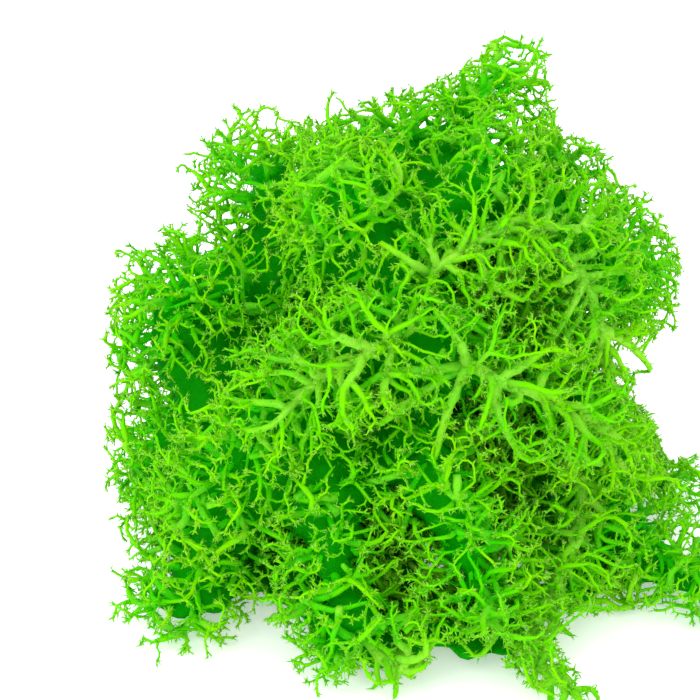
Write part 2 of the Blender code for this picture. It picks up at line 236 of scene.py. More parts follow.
# The clump's outline from the camera, to the right of the camera's target and above it. It is open
# on the left, where the edge of the picture cuts the clump off, and along the ground.
SEEN_OUTLINE = (
    (-2, 81), (-2, 43), (7, 46.5), (18, 49), (23, 53.5), (24.5, 57.5), (35, 59), (37, 44), (39, 38.5),
    (43, 38), (51, 30.5), (57, 23.5), (60, 16), (59, 9), (58, 3.5), (52, 1.5), (45.5, 3), (45, 0),
    (48, -3), (52, -4), (50, -8), (55, -12.5), (56.5, -20), (63, -18.5), (84.5, -14.5), (84.5, -63),
    (74, -56), (63, -50), (50, -46.5), (38.5, -48.5), (37, -54), (44.5, -62), (39, -66), (28, -56),
    (26, -52.5), (12, -53.5), (1, -58), (-8, -64), (-20, -81), (-117, -81), (-117, 81),
)

# The growth: a step's length, how far off a point is felt, how near a branch must come to it, how
# much a branch keeps its heading and strays from it, the most steps that a node takes, the share of
# its kinks that is eased, and the most steps in all
STEP = 1.0
FELT = 6.0
REACHED = 1.25
INERTIA = 0.5
WANDER = 0.28
MOST_FORKS = 2
SOFTENED = 0.2
MOST_STEPS = 45

# Limbs along the stalk: their spacing and how it varies, lean in degrees, length in steps, how they
# bend, how far from the stalk they may go, how thick they are at least, from root to end, and the
# turn from one to the next
LIMB_SPACING = 0.8
LIMB_SPACING_VARIES = (0.7, 1.3)
LIMB_LEAN = (35, 75)
LIMB_STEPS = (4, 9)
LIMB_WANDER = 0.28
LIMB_REACH = 6.0
LIMB_RADII = (0.65, 0.4)
GOLDEN_ANGLE = math.pi * (3 - math.sqrt(5))

# Thick limbs that fan out from the front stalks: their radii from root to end, and the waypoints of
# each, from the stalk to its end
FAN_RADII = (0.95, 0.5)
FANS = {
    "hub_tuft": (
        [(10, -28, 49), (4, -32, 50.5), (-3, -32, 50), (-9, -33, 46)],
        [(10, -28, 49), (3, -33, 47), (-4, -35, 42)],
        [(11, -29, 49), (7, -35, 44), (5, -38, 37)],
        [(11, -29, 49), (9, -31, 55), (5, -29, 60)],
        [(14, -31, 48), (16, -36, 43), (20, -37, 36)],
    ),
    "ridge_tuft": (
        [(4.5, -19, 61), (1, -23, 66), (-4, -22, 69)],
        [(12, -18, 67), (14, -22, 62), (20, -22, 58)],
    ),
    "spine_tuft": (
        [(31, -13, 58), (28, -18, 53), (24, -20, 47)],
        [(34, -17, 50), (40, -17, 46), (44, -14, 40)],
    ),
}

# Thickness: that of a tip, the power by which forks add up to what bears them, and the most that a
# branch has. A root is at most this share of what bears it, and this many times what follows it.
TIP_RADIUS = 0.24
FORK_POWER = 2.15
MOST_BRANCH_RADIUS = 0.8
ROOT_SHARE = 0.9
ROOT_FLARE = 2.2

# The skin: how flat tubes are, their sides by their radius at the thickest, the tones of a prong's
# three root corners and its tip, the radius from which tubes are uneven, by which share of it, the
# size of the lumps, and the radii between which every other ring is left out. A heading that points
# up or down by more than a set share takes another direction as the reference for its sides.
FLATNESS = (0.7, 1.0)
SIDES_BY_RADIUS = ((0.82, 8), (0.6, 5), (0.36, 4))
FEWEST_SIDES = 3
NEARLY_UPRIGHT = 0.8
PRONG_TONES = [0.8, 0.8, 0.8, 1.0]
UNEVEN_FROM = 0.32
UNEVEN_DEPTH = 0.6
UNEVEN_SIZE = 1.3
SPARSE_FROM = 0.3
SPARSE_TO = 0.7

# Prongs: stars of long ones at the tips, single ones along the branches, and spikes on both, by
# chance. Each has a spread, which is how far it turns aside for its length. A node bears side prongs
# by its radius, more of them towards the front, and longer ones on a thick branch. A spike stands
# on its prong within this range of the prong's length.
STAR_PRONGS = (2, 5)
STAR_SPREAD = (0.35, 1.1)
STAR_LENGTH = (0.8, 1.6)
SIDE_PRONG_RADII = (0.0, 0.4, 0.6, 1.0)
SIDE_PRONG_COUNTS = (0.75, 0.95, 1.5, 2.8)
FRONT_TO_Y = 5.0
FRONT_COUNT = 1.2
SIDE_PRONG_SPREAD = (0.9, 2.6)
SIDE_PRONG_LENGTH = (0.6, 1.3)
SIDE_PRONG_OUT = 0.9
PRONG_RADIUS = 0.24
STAR_SPIKE_CHANCE = 0.65
SIDE_SPIKE_CHANCE = 0.12
SPIKE_PLACE = (0.4, 0.75)
SPIKE_SPREAD = (0.7, 1.6)
SPIKE_LENGTH = (0.45, 0.9)
SPIKE_RADIUS = 0.18

# Materials: linear colours, which are two greens in patches and the green of the depths, then the
# pale one of stalks and tips. The green of the depths is painted shade: the deeper, greener hue of the
# light that bounces about inside the clump, which also darkens the pits of the grain and the valleys
# between matted stems. The pale one is partly the own colour of stalks and tips and partly a painted
# highlight. Sizes and depths are in millimetres. A range is that of a value, such as noise, a tone or a
# share of the depth, over which a colour or bump comes in.
LIVE_GREENS = ((0.145, 0.65, 0.0003), (0.235, 0.69, 0.0005), (0.03, 0.72, 0.0002))
# The pale colour is partly that of stalks and tips and partly a painted highlight
LIVE_PALE = (0.55, 0.74, 0.15)
STALK_PALENESS = 0.45
# The old moss's green of the depths is darker still: painted shade in its pits and between its veins
OLD_GREENS = ((0.03, 0.66, 0.0003), (0.07, 0.7, 0.0003), (0.003, 0.32, 0.0001))
OLD_PALE = (0.08, 0.6, 0.001)
PATCH_SIZE = 12.0
PATCH_RANGE = (0.38, 0.62)
MOTTLE_SIZE = 0.7
MOTTLE_RANGE = (0.35, 0.7)
MOTTLED_PALENESS = (0.35, 1.0)
PALE_TIP_RANGE = (0.82, 1.0)
PALE_STALK_RANGE = (0.45, 0.0)
DEPTH_RANGE = (0.1, 0.8)
GRAIN_SIZE = 0.4
GRAIN_DETAIL = 3.0
GRAIN_DEPTH = 0.12
GRAIN_STRENGTH = 0.9
GRAIN_RANGE = (0.3, 0.8)
# Painted shade in the grain's pits: how far their colour goes to the green of the depths, and over which
# grain values
PIT_SHADE = 0.45
PIT_RANGE = (0.55, 0.35)
VEIN_RANGE = (0.4, 0.9)
VEIN_DISTORTION = 1.0
SPECKLE_DETAIL = 2.0
SPECULAR = 0.03
ROUGHNESS = 0.6

# Light: a soft sun from the upper left, a white sky, and a white floor with a glow of its own, this
# many metres out from the middle
SUN_ENERGY = 0.8
SUN_SOFTNESS = math.radians(35)
SUN_TURN = (math.radians(38), math.radians(-18), math.radians(-20))
SKY_STRENGTH = 1.32
FLOOR_HALF = 4.0
FLOOR_COLOUR = (0.92, 0.92, 0.92)
FLOOR_ROUGHNESS = 0.9
FLOOR_GLOW = 0.35


def unit(vectors):
    """The vectors, brought to the length of one."""
    return vectors / np.linalg.norm(vectors, axis=-1, keepdims=True)


def source(name):
    """A random source of its own for each use, so that none shifts another's draws."""
    return np.random.default_rng(list(name.encode()))


def smooth_route(waypoints):
    """Points a step apart along the smooth curve through the waypoints."""
    knots = np.array([waypoints[0], *waypoints, waypoints[-1]], float)
    curve = []
    for before, start, end, after in zip(knots, knots[1:], knots[2:], knots[3:]):
        leaving = (end - before) / 2
        arriving = (after - start) / 2
        for t in np.linspace(0, 1, CURVE_POINTS, endpoint=False):
            bend = (3 * (end - start) - 2 * leaving - arriving) * t**2
            twist = (2 * (start - end) + leaving + arriving) * t**3
            curve.append(start + leaving * t + bend + twist)
    curve = np.array([*curve, knots[-1]])
    run = np.concatenate([[0], np.cumsum(np.linalg.norm(np.diff(curve, axis=0), axis=1))])
    even = np.linspace(0, run[-1], max(2, round(run[-1] / STEP)) + 1)
    return np.stack([np.interp(even, run, curve[:, k]) for k in range(3)], axis=1)


def stalk_points(name):
    """The stalk's points, from inside the heart out to its end."""
    waypoints = np.array(TUFTS[name].route, float)
    inside = np.array([0.0, 0.0, np.clip(waypoints[0][2], HEART_FOOT_Z, HEART_HEAD_Z)])
    outward = unit(waypoints[0] - inside)
    waypoints[0] = inside + outward * (HEART_RADIUS + GAP)
    root = waypoints[0] - outward * STALK_SUNK
    points = smooth_route([root, *waypoints])
    bends = np.array([noise.noise_vector(Vector(point) / STALK_BEND_SIZE) for point in points])
    run = np.arange(len(points)) * STEP
    return points + bends * (STALK_BEND * np.minimum(run / STALK_STRAIGHT, 1))[:, None]


def distance_to_heart(points):
    """How far points are from the heart's surface."""
    off_axis = points.copy()
    off_axis[:, 2] -= np.clip(points[:, 2], HEART_FOOT_Z, HEART_HEAD_Z)
    return np.linalg.norm(off_axis, axis=1) - HEART_RADIUS


def nearest_stalks(points):
    """(index of the nearest stalk point, distance) for each point"""
    found = [stalk_tree.find(point)[1:] for point in points]
    return np.array([index for index, away in found]), np.array([away for index, away in found])


def seen_at(points):
    """Where the camera sees points: millimetres to the right of its target and above it."""
    back = np.array([0, -math.cos(CAMERA_ELEVATION), math.sin(CAMERA_ELEVATION)])
    upward = np.array([0, math.sin(CAMERA_ELEVATION), math.cos(CAMERA_ELEVATION)])
    from_target = points - np.array(CAMERA_TARGET)
    scale = CAMERA_DISTANCE / (CAMERA_DISTANCE - from_target @ back)
    return from_target[:, 0] * scale, from_target @ upward * scale


def within_outline(points):
    """Whether the camera sees each point inside SEEN_OUTLINE."""
    across, up = seen_at(points)
    inside = np.zeros(len(points), bool)
    corners = list(SEEN_OUTLINE)
    for (x, y), (next_x, next_y) in zip(corners, corners[1:] + corners[:1]):
        if y != next_y:
            crossing = (y > up) != (next_y > up)
            inside ^= crossing & (across < x + (up - y) / (next_y - y) * (next_x - x))
    return inside


def owners_of(points, sampled):
    """(which tuft each point belongs to, or len(TUFTS) for the heart, and whether growth reaches it)

    The owner is looked up at the sampled places, which may be blurred."""
    index, away = nearest_stalks(sampled)
    owner = stalk_owner[index]
    to_heart = distance_to_heart(sampled)
    owner[to_heart < away - STALK_RADII[1]] = len(TUFTS)
    reach = np.array([tuft.reach for tuft in TUFTS.values()] + [HEART_REACH])[owner]
    held = np.where(owner == len(TUFTS), to_heart, away) < reach + POINT_REACH
    held &= distance_to_heart(points) > 0
    held &= within_outline(points)
    for number, tuft in enumerate(TUFTS.values()):
        if tuft.bare:
            mine = np.flatnonzero(owner == number)
            off_stalk = points[mine] - stalk_tree_points[index[mine]]
            far = np.linalg.norm(off_stalk, axis=1)
            faces_out = off_stalk @ np.array(tuft.bare) > BARE_LIMIT * far
            held[mine] &= ~(faces_out & (far > BARE_FROM))
    return owner, held


def measure_depth(axes):
    """How many cells each cell of a grid lies inside the clump along these axes, up to DEPTH_LAYERS.

    Cells under the ground count as filled, and have no depth themselves."""
    cells = np.stack(np.meshgrid(*map(np.arange, cell_counts), indexing="ij"), axis=-1).reshape(-1, 3)
    middles = cell_corner + (cells + 0.5) * CELL
    filled = owners_of(middles, middles)[1] | (distance_to_heart(middles) <= 0)
    filled = filled.reshape(cell_counts)
    underground = (middles[:, 2] < GROUND).reshape(cell_counts)
    depth = np.zeros(cell_counts, int)
    for layer in range(DEPTH_LAYERS):
        filled |= underground
        inner = filled.copy()
        for axis in axes:
            inner &= np.roll(filled, 1, axis) & np.roll(filled, -1, axis)
        depth += inner & ~underground
        filled = inner
    return depth


def depth_of(points, grid):
    """The grid's value in the cell that each point lies in."""
    cells = ((points - cell_corner) // CELL).astype(int)
    return grid[tuple(np.clip(cells, 0, cell_counts - 1).T)]


def depth_at(points):
    """The depth at points as a share of the deepest, smooth from cell to cell."""
    total = np.zeros(len(points))
    offsets = (-CELL / 2, CELL / 2)
    for x in offsets:
        for y in offsets:
            for z in offsets:
                total += depth_of(points + (x, y, z), depth_grid)
    return total / (len(offsets) ** 3 * DEPTH_LAYERS)


def scatter_points():
    """The loose points that each owner's growth makes for, as a dictionary."""
    low, high = box_corners
    draw = source("loose points")
    count = int(np.prod(high - low) / POINT_VOLUME)
    points = draw.uniform(low, high, (count, 3))
    owner, held = owners_of(points, points + draw.normal(0, SHARE_BLUR, points.shape))
    points, owner = points[held], owner[held]
    kept = np.array(KEPT_BY_LAYER)[depth_of(points, depth_grid)]
    behind = points[:, 1] - np.maximum(points[:, 2] - SKYLINE_Z, 0)
    kept *= np.interp(behind, (BEHIND_FROM_Y, BEHIND_TO_Y), (1, KEPT_BEHIND))
    underneath = (points[:, 2] < UNDER_TO_Z) & (depth_of(points, inward_grid) >= UNDER_LAYERS)
    kept[underneath] *= KEPT_UNDER
    swarm = np.array([noise.noise(Vector(point) / SWARM_SIZE) for point in points])
    kept *= np.clip(SWARM_FILL + SWARM_CONTRAST * swarm, 0, 1)
    chosen = draw.random(len(points)) < kept
    points, owner = points[chosen], owner[chosen]
    return {name: points[owner == number] for number, name in enumerate([*TUFTS, "matted_heart"])}


class Tree:
    """Growing branches: each node's place, the node that bears it, and the way that it was heading."""

    def __init__(self):
        self.places = np.empty((0, 3))
        self.bearers = np.empty(0, int)
        self.headings = np.empty((0, 3))

    def add(self, places, bearers, headings):
        first = len(self.places)
        self.places = np.vstack([self.places, places])
        self.bearers = np.concatenate([self.bearers, bearers])
        self.headings = np.vstack([self.headings, headings])
        return np.arange(first, len(self.places))

    def add_run(self, points, bearer):
        """Adds points one after another, the first on the bearer, which is -1 for none."""
        first = len(self.places)
        headings = unit(np.gradient(points, axis=0))
        bearers = np.arange(first - 1, first + len(points) - 1)
        bearers[0] = bearer
        return self.add(points, bearers, headings)


def closest(places, points):
    """(index of the place nearest to each point, distance)"""
    away = np.linalg.norm(points[:, None] - places[None], axis=2)
    index = away.argmin(axis=1)
    return index, away[np.arange(len(points)), index]


def grow(tree, open_nodes, points, draw):
    """Grows branches from the open nodes until they reach the points."""
    forks_left = np.zeros(len(tree.places), int)
    forks_left[open_nodes] = MOST_FORKS
    index, away = closest(tree.places[open_nodes], points)
    index = open_nodes[index]
    for step in range(MOST_STEPS):
        felt = away < FELT
        pull = np.zeros_like(tree.places)
        np.add.at(pull, index[felt], unit(points[felt] - tree.places[index[felt]]))
        ready = np.flatnonzero((np.abs(pull).sum(axis=1) > 0) & (forks_left > 0))
        if not len(ready):
            break
        heading = unit(pull[ready]) + INERTIA * tree.headings[ready]
        heading = unit(heading + draw.normal(0, WANDER, heading.shape))
        ahead = tree.places[ready] + heading * STEP
        ahead[:, 2] = np.maximum(ahead[:, 2], GROUND)
        fresh = tree.add(ahead, ready, heading)
        forks_left[ready] -= 1
        forks_left = np.concatenate([forks_left, np.full(len(fresh), MOST_FORKS)])
        new_index, new_away = closest(ahead, points)
        nearer = new_away < away
        index[nearer] = fresh[new_index[nearer]]
        away[nearer] = new_away[nearer]
        waiting = away > REACHED
        points, index, away = points[waiting], index[waiting], away[waiting]
        if not len(points):
            break


def thickness(tree):
    """Each node's radius: forks add up to the thickness of what bears them."""
    load = np.zeros(len(tree.places))
    for node in range(len(load) - 1, -1, -1):
        if load[node] == 0:
            load[node] = TIP_RADIUS**FORK_POWER
        if tree.bearers[node] >= 0:
            load[tree.bearers[node]] += load[node]
    return load ** (1 / FORK_POWER)


def split_into_runs(tree, radii):
    """Lists of nodes: each run goes on into the thickest fork, and the others start runs of their own."""
    forks = [[] for place in tree.places]
    starts = []
    for node, bearer in enumerate(tree.bearers):
        if bearer < 0:
            starts.append([node])
        else:
            forks[bearer].append(node)
    runs = []
    while starts:
        run = starts.pop()
        while forks[run[-1]]:
            onward, *others = sorted(forks[run[-1]], key=lambda node: -radii[node])
            starts.extend([run[-1], other] for other in others)
            run.append(onward)
        runs.append(run)
    return runs


def soften(tree):
    """Eases the kinks in the branches: each node moves a little to the middle of its neighbours."""
    inner = tree.bearers >= 0
    total = np.zeros_like(tree.places)
    count = np.zeros(len(tree.places))
    np.add.at(total, tree.bearers[inner], tree.places[inner])
    np.add.at(count, tree.bearers[inner], 1)
    moved = inner & (count > 0)
    onward = total[moved] / count[moved][:, None]
    middle = (onward + tree.places[tree.bearers[moved]]) / 2
    tree.places[moved] += SOFTENED * (middle - tree.places[moved])


class Skin:
    """The mesh of a piece as it is made. Each vertex has a tone, 0 on stalks and 1 at the tips."""

    def __init__(self):
        self.vertices = []
        self.faces = []
        self.tones = []

    def add(self, vertices, faces, tone):
        """Adds a surface as it is, all in one tone."""
        first = len(self.vertices)
        self.vertices.extend(vertices)
        self.tones.extend([tone] * len(vertices))
        self.faces.extend(tuple(first + corner for corner in face) for face in faces)

    def tube(self, points, radii, sides, tones):
        """A closed tapering tube that ends in a point, uneven where it is thick."""
        first = len(self.vertices)
        along = [Vector(step).normalized() for step in np.gradient(points, axis=0)]
        across = along[0].orthogonal().normalized()
        flatness = np.interp(noise.noise(Vector(points[0])), NOISE_RANGE, FLATNESS)
        for point, way, radius, tone in zip(points, along, radii, tones):
            across = (across - way * across.dot(way)).normalized()
            other = way.cross(across)
            for k in range(sides):
                angle = math.tau * k / sides
                side = across * math.cos(angle) + other * (math.sin(angle) * flatness)
                place = Vector(point) + side * radius
                if radius > UNEVEN_FROM:
                    lump = noise.noise(place / UNEVEN_SIZE)
                    place += side * (radius * UNEVEN_DEPTH * lump)
                self.vertices.append(tuple(place))
                self.tones.append(tone)
        self.faces.append(tuple(range(first + sides - 1, first - 1, -1)))
        for ring in range(first, first + sides * (len(points) - 1), sides):
            for k in range(sides):
                after = (k + 1) % sides
                self.faces.append((ring + k, ring + after, ring + sides + after, ring + sides + k))
        last = len(self.vertices) - sides
        self.vertices.append(tuple(Vector(points[-1]) + along[-1] * radii[-1]))
        self.tones.append(tones[-1])
        for k in range(sides):
            self.faces.append((last + k, last + (k + 1) % sides, last + sides))

    def prongs(self, roots, headings, lengths, radii):
        """Closed three-sided spikes."""
        reference = np.where(np.abs(headings[:, 2:]) < NEARLY_UPRIGHT, (0.0, 0.0, 1.0), (1.0, 0.0, 0.0))
        across = unit(np.cross(headings, reference))
        other = np.cross(headings, across)
        corners = [
            roots + (across * math.cos(angle) + other * math.sin(angle)) * radii[:, None]
            for angle in (0, math.tau / 3, 2 * math.tau / 3)
        ]
        corners.append(roots + headings * lengths[:, None])
        first = len(self.vertices)
        self.vertices.extend(map(tuple, np.stack(corners, axis=1).reshape(-1, 3)))
        self.tones.extend(PRONG_TONES * len(roots))
        for start in range(first, first + 4 * len(roots), 4):
            root, left, right, tip = range(start, start + 4)
            self.faces.append((right, left, root))
            self.faces.extend(((root, left, tip), (left, right, tip), (right, root, tip)))

    def piece(self, name, material):
        """The piece as an object, with its tones and depths. None of it lies under the ground."""
        mesh = bpy.data.meshes.new(name)
        vertices = np.array(self.vertices)
        vertices[:, 2] = np.maximum(vertices[:, 2], 0)
        mesh.from_pydata((vertices * MM).tolist(), [], self.faces)
        mesh.polygons.foreach_set("use_smooth", [True] * len(mesh.polygons))
        tone = mesh.attributes.new("tone", "FLOAT", "POINT")
        tone.data.foreach_set("value", self.tones)
        depth = mesh.attributes.new("depth", "FLOAT", "POINT")
        depth.data.foreach_set("value", depth_at(vertices))
        mesh.materials.append(material)
        made = bpy.data.objects.new(name, mesh)
        bpy.context.scene.collection.objects.link(made)
        return made


def turned_aside(headings, spread, draw):
    """Headings turned away from the given ones, by a sideways share of their length."""
    sideways = unit(np.cross(headings, draw.normal(0, 1, headings.shape)))
    return unit(headings + sideways * draw.uniform(*spread, (len(headings), 1)))


def sides_for(radius):
    """How many sides a tube has, by its thickness."""
    for least, sides in SIDES_BY_RADIUS:
        if radius > least:
            return sides
    return FEWEST_SIDES


def add_prongs(skin, tree, radii, tips, draw):
    """Stars of prongs at the tips, single prongs along the branches, and spikes on both."""
    stars = np.repeat(tips, draw.integers(STAR_PRONGS[0], STAR_PRONGS[1] + 1, len(tips)))
    bearing = np.flatnonzero(tree.bearers >= 0)
    wanted = np.interp(radii[bearing], SIDE_PRONG_RADII, SIDE_PRONG_COUNTS)
    wanted[tree.places[bearing, 1] < FRONT_TO_Y] *= FRONT_COUNT
    bearing = np.repeat(bearing, (wanted + draw.random(len(bearing))).astype(int))
    for nodes, spread, length, spike_chance in (
        (stars, STAR_SPREAD, STAR_LENGTH, STAR_SPIKE_CHANCE),
        (bearing, SIDE_PRONG_SPREAD, SIDE_PRONG_LENGTH, SIDE_SPIKE_CHANCE),
    ):
        headings = turned_aside(tree.headings[nodes], spread, draw)
        lengths = draw.uniform(*length, len(nodes))
        if nodes is bearing:
            lengths += radii[nodes] * SIDE_PRONG_OUT
        clear = tree.places[nodes][:, 2] + headings[:, 2] * lengths > GROUND / 2
        nodes, headings, lengths = nodes[clear], headings[clear], lengths[clear]
        roots = tree.places[nodes]
        skin.prongs(roots, headings, lengths, np.minimum(radii[nodes], PRONG_RADIUS))
        spiked = draw.random(len(nodes)) < spike_chance
        along = lengths[spiked] * draw.uniform(*SPIKE_PLACE, spiked.sum())
        roots = roots[spiked] + headings[spiked] * along[:, None]
        headings = turned_aside(headings[spiked], SPIKE_SPREAD, draw)
        lengths = draw.uniform(*SPIKE_LENGTH, len(roots))
        skin.prongs(roots, headings, lengths, np.full(len(roots), SPIKE_RADIUS))


def tone_of(radii):
    """The tones of a branch: the thinner it is, the nearer to that of its prongs."""
    return np.interp(radii, (TIP_RADIUS, MOST_BRANCH_RADIUS), (PRONG_TONES[0], 0.0))


def sparse_rings(radii):
    """Which nodes of a run get a ring: where it is neither thin nor thick, every other one will do."""
    kept = [0]
    for node in range(1, len(radii) - 1):
        if radii[node] < SPARSE_FROM or radii[node] > SPARSE_TO or kept[-1] < node - 1:
            kept.append(node)
    return [*kept, len(radii) - 1]


def dress(tree, radii, stalks, draw):
    """The skin of a whole tree. A branch is thinned at its root, and a stalk is not."""
    skin = Skin()
    for run in split_into_runs(tree, radii):
        if len(run) > 1:
            run_radii = radii[run].copy()
            if run[1] not in stalks:
                run_radii[0] = min(run_radii[0] * ROOT_SHARE, run_radii[1] * ROOT_FLARE)
            kept = sparse_rings(run_radii)
            run = np.array(run)[kept]
            run_radii = run_radii[kept]
            skin.tube(tree.places[run], run_radii, sides_for(run_radii.max()), tone_of(run_radii))
    bearing = np.zeros(len(tree.places), bool)
    bearing[tree.bearers[tree.bearers >= 0]] = True
    tips = np.flatnonzero(~bearing)
    add_prongs(skin, tree, radii, tips, draw)
    return skin


def wander(place, heading, steps, spread, held_in, draw, step_length=STEP):
    """Points a step apart that wind about. Where held_in gives a way back, they turn that way."""
    points = []
    for step in range(steps):
        heading = unit(heading + draw.normal(0, spread, 3))
        pull = held_in(place + heading * step_length)
        if pull is not None:
            heading = unit(heading + pull)
        place = place + heading * step_length
        place[2] = max(place[2], GROUND)
        points.append(place)
    return np.array(points)


def limb_runs(stalk, draw):
    """(stalk node, points) of each limb"""
    along = unit(np.gradient(stalk, axis=0))

    def near_stalk(place):
        off_stalk = stalk - place
        far = np.linalg.norm(off_stalk, axis=1)
        nearest = far.argmin()
        return off_stalk[nearest] / far[nearest] if far[nearest] > LIMB_REACH else None

    node = (STALK_SUNK + 1) / STEP
    turn = draw.uniform(0, math.tau)
    while node < len(stalk) - 1:
        way = along[int(node)]
        reference = (0.3, 0.1, 1.0) if abs(way[2]) < NEARLY_UPRIGHT else (1.0, 0.2, 0.1)
        across = unit(np.cross(way, reference))
        other = np.cross(way, across)
        lean = math.radians(draw.uniform(*LIMB_LEAN))
        heading = math.cos(lean) * way + math.sin(lean) * (math.cos(turn) * across + math.sin(turn) * other)
        steps = draw.integers(LIMB_STEPS[0], LIMB_STEPS[1] + 1)
        yield int(node), wander(stalk[int(node)], heading, steps, LIMB_WANDER, near_stalk, draw)
        node += LIMB_SPACING / STEP * draw.uniform(*LIMB_SPACING_VARIES)
        turn += GOLDEN_ANGLE


def make_tuft(name, points, material):
    """The fine growth of one tuft."""
    draw = source(name)
    tree = Tree()
    stalk = stalk_points(name)
    nodes = tree.add_run(stalk, -1)
    limbs = [tree.add_run(run, nodes[node]) for node, run in limb_runs(stalk, draw)]
    fans = []
    for fan in FANS.get(name, ()):
        root = np.linalg.norm(stalk - fan[0], axis=1).argmin()
        fans.append(tree.add_run(smooth_route([stalk[root], *fan[1:]])[1:], nodes[root]))
    open_nodes = [nodes[-1:], *limbs, *fans]
    grow(tree, np.concatenate(open_nodes), points, draw)
    soften(tree)
    radii = thickness(tree)
    stalk_radii = np.clip(radii[nodes], *STALK_RADII)
    radii = np.minimum(radii, MOST_BRANCH_RADIUS)
    radii[nodes] = stalk_radii
    for limb in limbs:
        radii[limb] = np.maximum(radii[limb], np.linspace(*LIMB_RADII, len(limb)))
    for fan in fans:
        radii[fan] = np.linspace(*FAN_RADII, len(fan))
    skin = dress(tree, radii, set(nodes), draw)
    piece = skin.piece(name.replace("_tuft", "_moss"), material)
    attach(piece, "root")
    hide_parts(name)


def in_heart(place):
    """The way back to the middle, for a stem that would leave the heart."""
    if distance_to_heart(place[None])[0] < -OLD_STEM_MARGIN:
        return None
    middle = np.array([0, 0, np.clip(place[2], HEART_FOOT_Z, HEART_HEAD_Z)])
    return unit(middle - place)


def old_stem(draw):
    """The points of a stem that winds about inside the heart."""
    turn = draw.uniform(0, math.tau)
    off_axis = (HEART_RADIUS - OLD_STEM_MARGIN) * math.sqrt(draw.random())
    height = draw.uniform(GROUND, HEART_HEAD_Z + HEART_RADIUS / 2)
    place = np.array([off_axis * math.cos(turn), off_axis * math.sin(turn), height])
    heading = unit(draw.normal(0, 1, 3))
    return wander(place, heading, OLD_STEM_STEPS, OLD_STEM_WANDER, in_heart, draw)


def mat_surface():
    """(vertices, faces) of the lumpy mat: the deep cells' outside, remeshed."""
    filled = depth_grid >= MAT_LAYER
    levels = cell_corner[2] + np.arange(cell_counts[2]) * CELL
    foot = (depth_grid[:, :, levels < FOOT_UNDER_Z] > 0).any(axis=2)
    for cell in range(FOOT_MARGIN):
        whole = foot.copy()
        for axis in (0, 1):
            foot = foot & np.roll(whole, 1, axis) & np.roll(whole, -1, axis)
    filled[:, :, levels < FOOT_TOP] |= foot[:, :, None]
    filled[:, :, levels < MAT_GROUND] = False
    corners = []
    for axis in range(3):
        for side in (0, 1):
            beyond = np.roll(filled, 1 - 2 * side, axis)
            cells = np.argwhere(filled & ~beyond)
            square = np.array([(0, 0), (1, 0), (1, 1), (0, 1)])[:: 2 * side - 1]
            face = np.insert(square, axis, side, axis=1)
            if axis == 1:
                face = face[::-1]
            corners.append(cells[:, None] + face[None])
    corners = np.concatenate(corners).reshape(-1, 3) * CELL + cell_corner
    faces = np.arange(len(corners)).reshape(-1, 4)
    mesh = bpy.data.meshes.new("mat")
    mesh.from_pydata(corners.tolist(), [], faces.tolist())
    body = bpy.data.objects.new("mat", mesh)
    bpy.context.scene.collection.objects.link(body)
    remesh = body.modifiers.new("remesh", "REMESH")
    remesh.mode = "VOXEL"
    remesh.voxel_size = MAT_VOXEL
    smooth = body.modifiers.new("smooth", "SMOOTH")
    smooth.iterations = MAT_SMOOTHING
    bpy.context.view_layer.update()
    shape = body.evaluated_get(bpy.context.evaluated_depsgraph_get()).to_mesh()
    vertices = []
    for vertex in shape.vertices:
        lump = noise.noise(vertex.co / MAT_LUMP_SIZE) + noise.noise(vertex.co * 2 / MAT_LUMP_SIZE) / 2
        vertices.append(tuple(vertex.co + vertex.normal * (MAT_LUMP_HEIGHT * lump)))
    faces = [tuple(face.vertices) for face in shape.polygons]
    bpy.data.objects.remove(body)
    return vertices, faces


def make_mat(material):
    """The mat of old growth that shuts off the view through the clump."""
    skin = Skin()
    skin.add(*mat_surface(), MAT_TONE)
    piece = skin.piece("matted_heart_mat", material)
    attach(piece, "root")


def make_tangle(material):
    """Thick stems that wind about between the stalks, under the fine growth."""
    draw = source("tangle")
    inward = np.stack(np.gradient(depth_grid.astype(float)), axis=-1)
    low, high = TANGLE_LAYERS

    def kept_deep(place):
        cell = tuple(((place - cell_corner) // CELL).astype(int))
        if depth_grid[cell] >= low:
            return None
        return inward[cell] / max(np.linalg.norm(inward[cell]), TANGLE_SLOPE)

    def kept_between(low_corner, high_corner):
        def way_back(place):
            inside = np.clip(place, low_corner, high_corner)
            away = np.linalg.norm(inside - place)
            return (inside - place) / away if away > 0 else None

        return way_back

    cells = np.argwhere((depth_grid >= low) & (depth_grid <= high))
    cells = cells[draw.choice(len(cells), TANGLE_STEMS, replace=False)]
    starts = [(place, kept_deep) for place in cell_corner + (cells + draw.random(cells.shape)) * CELL]
    for count, low_corner, high_corner in HOLLOWS:
        held_in = kept_between(low_corner, high_corner)
        starts += [(place, held_in) for place in draw.uniform(low_corner, high_corner, (count, 3))]
    tree = Tree()
    radii = []
    for place, held_in in starts:
        steps = draw.integers(TANGLE_STEPS[0], TANGLE_STEPS[1] + 1)
        heading = unit(draw.normal(0, 1, 3))
        points = wander(place, heading, steps, TANGLE_WANDER, held_in, draw, TANGLE_STEP)
        tree.add_run(points, -1)
        radii.append(np.linspace(*TANGLE_RADII, len(points)) * draw.uniform(*TANGLE_THICKNESS))
    radii = np.concatenate(radii)
    skin = dress(tree, radii, set(range(len(radii))), draw)
    piece = skin.piece("matted_heart_tangle", material)
    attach(piece, "root")


